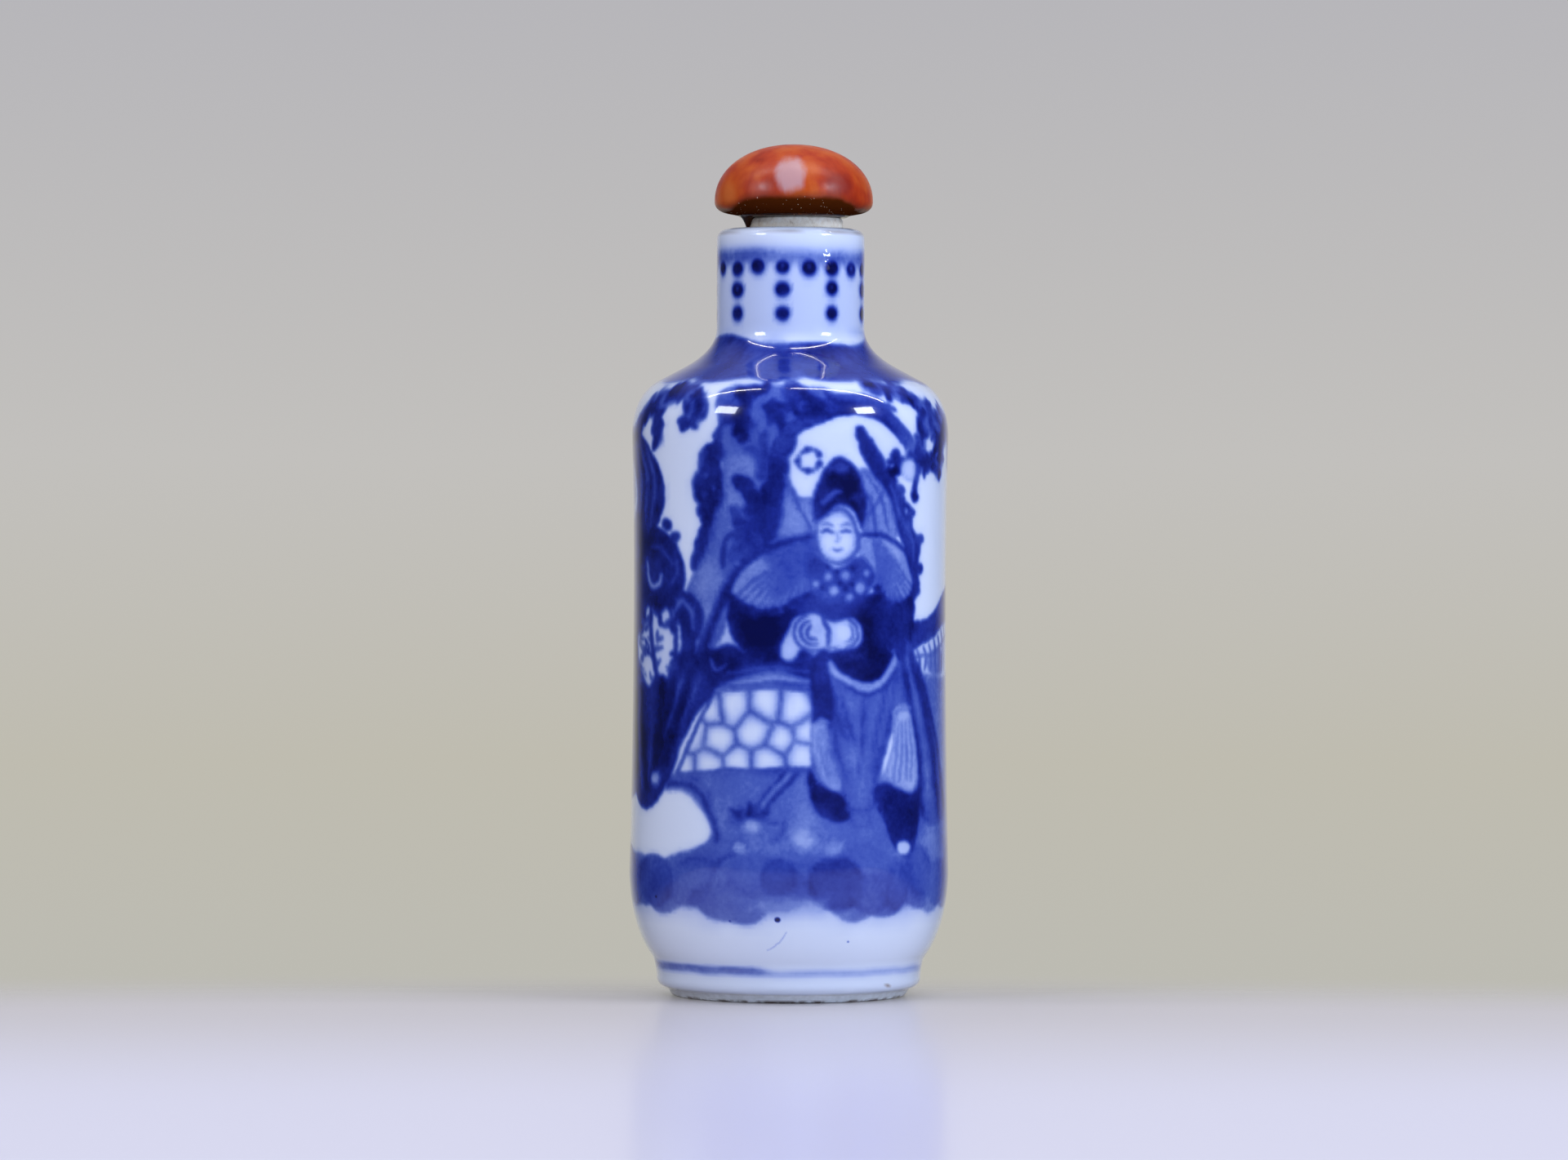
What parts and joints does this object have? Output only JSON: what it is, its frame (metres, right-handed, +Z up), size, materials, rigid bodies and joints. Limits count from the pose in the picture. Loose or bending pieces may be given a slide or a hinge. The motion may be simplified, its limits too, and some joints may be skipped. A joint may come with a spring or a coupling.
{
  "type": "snuff bottle",
  "caption": "Small cylindrical porcelain bottle painted in blue, with a sloping shoulder, a narrow neck and a domed stopper; it holds powder and stands on its foot ring.",
  "frame": {"origin": "centre of the foot ring, on the surface that the bottle stands on", "axes": "+Z up, from the foot to the stopper; -Y is the side with the painted standing figure, which faces the viewer"},
  "size_m": [0.0314, 0.0314, 0.0833],
  "materials": {
    "porcelain": "gloss",
    "bone": "matte",
    "resin": "gloss",
    "coral": "polished"
  },
  "bodies": {
    "root": {"bottle": "porcelain", "stopper_collar": "bone", "stopper_resin": "resin", "stopper_cap": "coral"}
  },
  "joints": []
}
